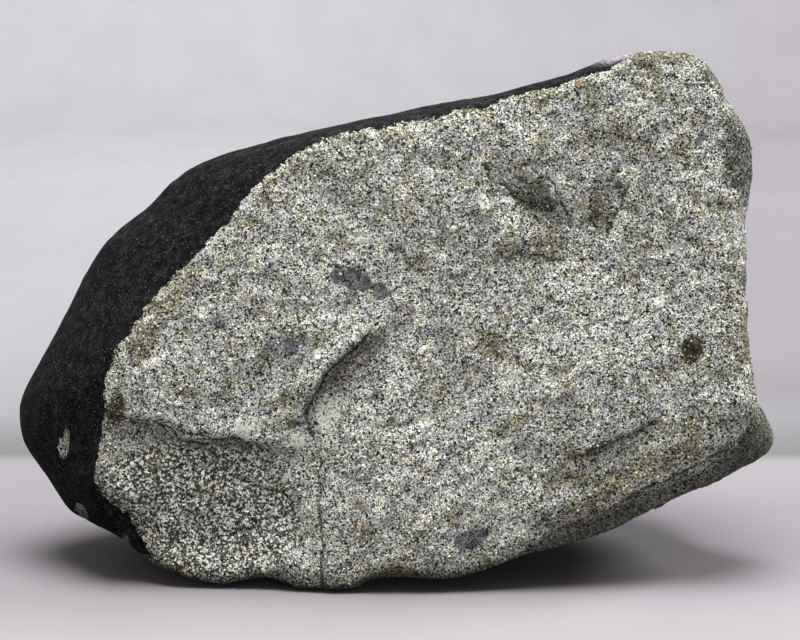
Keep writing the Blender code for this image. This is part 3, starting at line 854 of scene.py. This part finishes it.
def broken_colour(p):
    """The whole colour of the broken stone, from the ground up."""
    colour, olive = ground_colour(p)
    colour, calm = patches_on(colour, p)
    dark = p.attribute("dark")
    coarse = p.attribute("coarse")
    _, clump, _ = p.moved((7.0, 3.0, 5.0)).grains(0.29)
    lit = clump.step(0.60, 0.72) * coarse
    colour = colour.tinted(lit * 0.7, srgb(255, 255, 248))
    matrix = clump.step(0.50, 0.30) * coarse
    colour = colour.tinted(matrix * 0.9, srgb(100, 101, 94), "MULTIPLY")
    calm = (calm + lit * 0.5).clamp()
    clouds = p.noise(2.1, 3.0, 0.65, 17.0).step(0.36, 0.62)
    # The painted shade also thickens the pepper.
    busy = clouds * 0.5 + (olive * 0.3 + dark * 1.6 + 0.16)
    colour = pepper_on(colour, p, calm, (busy + coarse * 0.4).clamp())
    ragged = p.ragged(0.4)
    rust = (p.attribute("rust") + ragged).step(-0.1, 0.2) + p.dots(3.1, 0.36, 0.14) * 0.7
    colour = colour.tinted(rust.clamp() * 0.7, srgb(112, 82, 60))
    # Painted shade, multiplied over the colour.
    colour = colour.tinted((dark * 0.9).clamp(), IN_SHADE, "MULTIPLY")
    crack = (p.attribute("crack") + ragged).step(0.15, 0.8)
    colour = colour.tinted(crack * 0.6, srgb(60, 59, 52))
    from_line = p.attribute("line_gap") + (p.noise(0.8, 3.0, 0.7, 8.0) - 0.5) * 1.1
    thin = abs(from_line).step(0.24, 0.06) * p.attribute("crack").step(0.10, 0.30)
    broken_up = p.noise(1.1, 2.0, 0.6, 12.0).step(0.28, 0.50)
    return colour.tinted(thin * broken_up * 0.85, srgb(26, 25, 22))


# %% [markdown]
# ## The crust
# The crust is a thin matte glass, almost black, with paler specks where grains show through, and a
# grey sheen painted at its top edge. One flat black would look like a hole in the picture, so two
# noises mottle it and two sizes of dots speckle it.

# %% Colour of the crust
def crust_colour(p):
    """Mottled black with specks, and a sheen painted at the top edge."""
    mottled = p.noise(1.4, 4.0, 0.6, 21.0) * 0.4 + p.noise(0.20, 2.0, 0.7, 22.0) * 0.6
    colour = mottled.ramp([(0.38, srgb(2, 2, 3)), (0.5, srgb(11, 11, 12)), (0.62, srgb(38, 37, 38))])
    colour = colour.tinted(p.dots(0.30, 0.11, 0.28) * 0.8, srgb(70, 68, 68))
    colour = colour.tinted(p.dots(0.9, 0.12, 0.20) * 0.5, srgb(120, 118, 114))
    # The painted highlight, broken into streaks by noise.
    painted_highlight = p.attribute("sheen") * p.noise(0.5, 3.0, 0.7, 51.0).step(0.36, 0.56)
    return colour.tinted(painted_highlight * 0.8, srgb(140, 134, 144))


# %% [markdown]
# ## One material for both
# Two materials would meet along the edges of the mesh's squares, and that edge would look like
# steps. One material holds both skins, and mixes them by the distance to the crust's edge, which is
# jagged with noise. The same mask mixes the roughness and the fine bumps: sharp grains on the break,
# soft wrinkles on the crust.

# %% Put the stone's material together
def stone_material():
    """Broken stone and crust in one material."""
    material, shader, p = new_material("crusted_broken_stone")
    jagged = (p.noise(0.7, 3.0, 0.7, 9.0) - 0.5) * 1.5
    crusted = (p.attribute("crust") + jagged).step(-0.06, 0.06)
    colour = broken_colour(p).tinted(crusted, crust_colour(p))
    near, _, own = p.grains(0.30)
    stone_rough = 0.86 - own.step(0.80, 0.9) * 0.42
    crust_rough = 0.70 + p.noise(3.0, 2.0, 0.5, 2.0) * 0.16
    rough = stone_rough * (1 - crusted) + crust_rough * crusted
    grain_height = p.noise(0.30, 3.0, 0.7, 31.0) * 0.11 - near * 0.20
    wrinkle = p.noise(0.55, 4.0, 0.6, 37.0) * 0.05 + p.noise(0.20, 2.0, 0.6, 38.0) * 0.05
    relief = grain_height * (1 - crusted) + wrinkle * crusted
    feed(shader, Base_Color=colour, Roughness=rough, Normal=relief.bumped(0.8), Specular_IOR_Level=0.03)
    return material


stone.data.materials.append(stone_material())
print("nodes in the stone's material:", len(stone.data.materials[0].node_tree.nodes))

# %% [markdown]
# ## Grains that stand out of the break
# Crystals and small round chondrules stick out of the broken stone and catch the light one by one.
# There are thousands, too many to place by hand, so a Geometry Nodes tree scatters them: points at
# random where the stone is broken, and a small rounded crystal at each, turned and stretched at
# random. The seed is fixed, and every size is an input of the tree. A crystal is an icosphere of 20
# or 80 faces, since it is only a few pixels wide.

# %% The scatter tree
STRETCH_LEAST = (0.7, 0.7, 0.7)
STRETCH_MOST = (1.3, 1.3, 1.3)
FULL_TURN = (6.28, 6.28, 6.28)


def grain_tree():
    """The Geometry Nodes tree that scatters grains over the broken stone."""
    tree = bpy.data.node_groups.new("scatter_grains", "GeometryNodeTree")
    tree.interface.new_socket("Stone", in_out="INPUT", socket_type="NodeSocketGeometry")
    for name, kind in (("Per square metre", "NodeSocketFloat"), ("Smallest", "NodeSocketFloat"),
                       ("Largest", "NodeSocketFloat"), ("Sunk", "NodeSocketFloat"),
                       ("Roundness", "NodeSocketInt"), ("Seed", "NodeSocketInt"),
                       ("Finish", "NodeSocketMaterial")):
        tree.interface.new_socket(name, in_out="INPUT", socket_type=kind)
    tree.interface.new_socket("Grains", in_out="OUTPUT", socket_type="NodeSocketGeometry")
    inputs = tree.nodes.new("NodeGroupInput")

    def add(kind, links, **settings):
        made = tree.nodes.new(kind)
        for name, value in settings.items():
            setattr(made, name, value)
        for name, value in links.items():
            if isinstance(value, bpy.types.NodeSocket):
                tree.links.new(value, made.inputs[name])
            else:
                made.inputs[name].default_value = value
        return made

    share = add("GeometryNodeInputNamedAttribute", {"Name": "broken"}, data_type="FLOAT")
    density = add("ShaderNodeMath", {0: share.outputs[0], 1: inputs.outputs["Per square metre"]},
                  operation="MULTIPLY")
    points = add("GeometryNodeDistributePointsOnFaces", {
        "Mesh": inputs.outputs["Stone"], "Density": density.outputs[0], "Seed": inputs.outputs["Seed"]})
    size = add("FunctionNodeRandomValue", {
        "Min": inputs.outputs["Smallest"], "Max": inputs.outputs["Largest"], "Seed": 3},
        data_type="FLOAT")
    radius = [s for s in size.outputs if s.enabled][0]
    depth = add("ShaderNodeMath", {0: radius, 1: inputs.outputs["Sunk"]}, operation="MULTIPLY")
    down = add("ShaderNodeVectorMath", {0: points.outputs["Normal"], "Scale": depth.outputs[0]},
               operation="SCALE")
    under = add("ShaderNodeVectorMath", {0: (0.0, 0.0, 0.0), 1: down.outputs[0]},
                operation="SUBTRACT")
    sunk = add("GeometryNodeSetPosition", {
        "Geometry": points.outputs["Points"], "Offset": under.outputs[0]})
    crystal = add("GeometryNodeMeshIcoSphere", {
        "Radius": 1.0, "Subdivisions": inputs.outputs["Roundness"]})
    turn = add("FunctionNodeRandomValue", {
        "Min": (0.0, 0.0, 0.0), "Max": FULL_TURN, "Seed": 7}, data_type="FLOAT_VECTOR")
    stretch = add("FunctionNodeRandomValue", {
        "Min": STRETCH_LEAST, "Max": STRETCH_MOST, "Seed": 9}, data_type="FLOAT_VECTOR")
    scale = add("ShaderNodeVectorMath", {0: stretch.outputs[0], "Scale": radius}, operation="SCALE")
    placed = add("GeometryNodeInstanceOnPoints", {
        "Points": sunk.outputs[0], "Instance": crystal.outputs[0], "Rotation": turn.outputs[0],
        "Scale": scale.outputs[0]})
    tone = add("FunctionNodeRandomValue", {"Seed": 13}, data_type="FLOAT")
    toned = add("GeometryNodeStoreNamedAttribute", {
        "Geometry": placed.outputs[0], "Name": "tone",
        "Value": [s for s in tone.outputs if s.enabled][0]}, data_type="FLOAT", domain="INSTANCE")
    real = add("GeometryNodeRealizeInstances", {"Geometry": toned.outputs[0]})
    finish = add("GeometryNodeSetMaterial", {
        "Geometry": real.outputs[0], "Material": inputs.outputs["Finish"]})
    output = tree.nodes.new("NodeGroupOutput")
    tree.links.new(finish.outputs[0], output.inputs[0])
    return tree


scatter = grain_tree()
print("nodes in the scatter tree:", len(scatter.nodes))

# %% [markdown]
# ## Finishes of the grains
# The pale crystals are silicates, the dark ones metal and sulphide, and the chondrules dull little
# droplets. A colour for each kind alone would look like plastic beads, so the tree gave every grain
# a tone of its own, which a ramp turns into its colour. The stone's painted shade reaches them too.

# %% Make the three finishes
def grain_material(name, stops, roughness):
    """A grain's colour comes from its own tone, broken up by fine noise."""
    material, shader, p = new_material(name)
    tone = p.attribute("tone") * 0.8 + p.noise(0.22, 2.0, 0.6, 1.0) * 0.5 - 0.15
    # Painted shade from the stone, carried onto the grains.
    shade = p.attribute("dark").clamp()
    relief = p.noise(0.2, 3.0, 0.6, 4.0) * 0.05
    rough = p.noise(0.5, 1.0, 0.5, 8.0) * 0.3 + (roughness - 0.15)
    colour = tone.ramp(stops).tinted(shade, IN_SHADE, "MULTIPLY")
    feed(shader, Base_Color=colour, Roughness=rough, Normal=relief.bumped(0.7), Specular_IOR_Level=0.3)
    return material


PALE_TONES = [(0.1, srgb(136, 137, 122)), (0.5, srgb(190, 191, 177)), (0.9, srgb(218, 219, 206))]
DARK_TONES = [(0.1, srgb(20, 20, 20)), (0.6, srgb(56, 56, 52)), (0.95, srgb(104, 98, 82))]
ROUND_TONES = [(0.1, srgb(84, 86, 82)), (0.5, srgb(140, 141, 130)), (0.9, srgb(190, 190, 174))]
finishes = {
    "pale_crystals": grain_material("pale_crystal", PALE_TONES, 0.55),
    "dark_crystals": grain_material("dark_metal_and_sulphide", DARK_TONES, 0.45),
    "chondrules": grain_material("chondrule", ROUND_TONES, 0.8),
}
print("finishes:", list(finishes))

# %% [markdown]
# ## Three kinds of grain
# Each kind is one run of the tree, with its own sizes in metres, depth and seed. The sizes are set by
# the socket's identifier, since Blender finds them by nothing else, and before the object is first
# worked out. The result is turned into a plain mesh, and the modifier is removed.

# %% Scatter the three kinds
GRAINS = {
    "pale_crystals": {"Per square metre": 450000.0, "Smallest": 0.00009, "Largest": 0.00021,
                      "Sunk": 0.30, "Roundness": 1, "Seed": 4},
    "dark_crystals": {"Per square metre": 650000.0, "Smallest": 0.00008, "Largest": 0.00018,
                      "Sunk": 0.30, "Roundness": 1, "Seed": 17},
    "chondrules": {"Per square metre": 40000.0, "Smallest": 0.00026, "Largest": 0.00052,
                   "Sunk": 0.74, "Roundness": 2, "Seed": 29},
}


def scattered(name, sizes):
    """One scatter of the stone's grains, as a plain mesh object."""
    obj = bpy.data.objects.new(name, stone.data.copy())
    bpy.context.scene.collection.objects.link(obj)
    modifier = obj.modifiers.new("Scatter", "NODES")
    modifier.node_group = scatter
    values = dict(sizes, Finish=finishes[name])
    for socket in scatter.interface.items_tree:
        if socket.in_out == "INPUT" and socket.name in values:
            modifier[socket.identifier] = values[socket.name]
    obj.data = plain_mesh(obj)
    obj.modifiers.clear()
    smooth_shaded = np.full(len(obj.data.polygons), name == "chondrules")
    obj.data.polygons.foreach_set("use_smooth", smooth_shaded)
    return obj


grains = [scattered(name, sizes) for name, sizes in GRAINS.items()]
for obj in grains:
    print(obj.name, "triangles:", sum(len(p.vertices) - 2 for p in obj.data.polygons))

# %% [markdown]
# ## Floor and backdrop
# The stone lies on pale, slightly lilac paper, with a soft fold some way behind it. A flat sheet and a
# wall would show a corner from the side, so the paper is a wide round dish, flat in the middle and
# curving up far away. A profile is spun round for it. Its tones follow the depth behind the stone's
# middle, with light and shade painted in: a painted shadow line where the paper would fold, paler
# paper beyond it, and painted shade, slightly pink, to the right.

# %% Make the dish
DISH_FLAT = 1.0
DISH_BEND = 0.5
DISH_RISE = 1.2
BEND_PARTS = 12
ROUND_PARTS = 64


def studio_dish():
    """A round floor that bends up into a wall."""
    bm = bmesh.new()
    profile = [(0.0, 0.0), (0.3, 0.0), (DISH_FLAT, 0.0)]
    for k in range(1, BEND_PARTS + 1):
        turn = k / BEND_PARTS * math.pi / 2.0
        profile.append((DISH_FLAT + DISH_BEND * math.sin(turn), DISH_BEND * (1.0 - math.cos(turn))))
    profile.append((DISH_FLAT + DISH_BEND, DISH_RISE))
    spine = [bm.verts.new((x, 0.0, z)) for x, z in profile]
    edges = [bm.edges.new(pair) for pair in zip(spine, spine[1:])]
    bmesh.ops.spin(bm, geom=spine + edges, axis=(0, 0, 1), cent=(0, 0, 0), steps=ROUND_PARTS,
                   angle=2.0 * math.pi)
    bmesh.ops.remove_doubles(bm, verts=bm.verts, dist=1e-5)
    bmesh.ops.recalc_face_normals(bm, faces=bm.faces)
    mesh = bpy.data.meshes.new("dish")
    bm.to_mesh(mesh)
    bm.free()
    mesh.polygons.foreach_set("use_smooth", np.ones(len(mesh.polygons), dtype=bool))
    obj = bpy.data.objects.new("dish", mesh)
    bpy.context.scene.collection.objects.link(obj)
    return obj


NEAR_END = 100.0
RAMP_LENGTH = 1600.0
# Paper tones with painted light and shade: the dip at 68 mm is a painted shadow line where the paper
# would fold.
PAPER_TONES_AND_PAINTED_LIGHT = [
    (-65.0, (115, 112, 113)), (-30.0, (109, 105, 108)), (0.0, (99, 96, 99)), (25.0, (97, 94, 97)),
    (50.0, (101, 98, 101)), (64.0, (99, 97, 99)), (68.0, (77, 76, 77)), (83.0, (83, 83, 84)),
    (104.0, (97, 97, 99)), (184.0, (109, 108, 111)), (400.0, (115, 114, 117)),
    (800.0, (131, 131, 133)), (1450.0, (148, 148, 151)),
]


def on_ramp(depth):
    """Where a depth in millimetres lies on the ramp from 0 to 1, for a number or a value."""
    return (depth + NEAR_END) / RAMP_LENGTH


def dish_material():
    """Pale paper, its tone and painted light and shade set by the depth behind the stone."""
    material, shader, p = new_material("pale_paper")
    across = p.node("ShaderNodeSeparateXYZ", {}, {0: p}, "X")
    depth = across.beside("Y") + (p.noise(70.0, 2.0, 0.5) - 0.5) * 4.0
    tone = on_ramp(depth).ramp([(on_ramp(place), srgb(*shade)) for place, shade in PAPER_TONES_AND_PAINTED_LIGHT])
    behind = depth.step(60.0, 150.0) * (1 - depth.step(500.0, 1200.0) * 0.65)
    # Painted shade, darker and slightly pink towards the right.
    painted_shade_right = (across * 0.006 + 0.55) * behind
    colour = tone.tinted(painted_shade_right.clamp(), srgb(223, 217, 220), "MULTIPLY")
    along = p.node("ShaderNodeVectorMath", {"operation": "MULTIPLY"}, {0: p, 1: (1.0, 0.25, 1.0)})
    creased = along.noise(30.0, 4.0, 0.6, 3.0).step(0.30, 0.70)
    colour = colour.tinted(creased * 0.4, srgb(238, 237, 239), "MULTIPLY")
    feed(shader, Base_Color=colour, Roughness=0.9, Specular_IOR_Level=0.2)
    return material


dish = studio_dish()
dish.data.materials.append(dish_material())
print("dish faces:", len(dish.data.polygons))

# %% [markdown]
# ## Light
# A large soft box hangs almost straight above, so the face is lit at a low slant and every bump
# shows, while the shadow under the stone stays soft. A small, low light in front lifts the face a
# little, and one from the right reaches the floor under the raised right end. An even, nearly white
# sky fills the rest: lights alone would leave the shadows black.

# %% Lights and sky
def soft_box(name, place, aim, size, power):
    """A round area light at a place, turned towards its aim."""
    light = bpy.data.lights.new(name, "AREA")
    light.shape = "DISK"
    light.size = size
    light.energy = power
    obj = bpy.data.objects.new(name, light)
    obj.location = Vector(place)
    obj.rotation_euler = (Vector(aim) - obj.location).to_track_quat("-Z", "Y").to_euler()
    bpy.context.scene.collection.objects.link(obj)


soft_box("key", (-0.03, -0.13, 1.50), (0.0, 0.0, 0.03), 1.1, 74.0)
soft_box("fill", (0.20, -1.10, 0.22), (0.0, 0.0, 0.03), 0.3, 1.8)
soft_box("side", (0.95, 0.30, 0.80), (0.0, 0.0, 0.02), 0.5, 23.0)
world = bpy.data.worlds.new("sky")
world.use_nodes = True
sky = world.node_tree.nodes["Background"]
sky.inputs["Color"].default_value = (0.97, 0.97, 1.0, 1.0)
sky.inputs["Strength"].default_value = 0.80
bpy.context.scene.world = world
bpy.context.scene.view_settings.view_transform = "Standard"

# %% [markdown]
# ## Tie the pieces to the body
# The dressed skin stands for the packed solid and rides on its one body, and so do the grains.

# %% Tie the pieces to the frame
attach(stone, "root")
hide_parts("meteorite")
for obj in grains:
    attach(obj, "root")
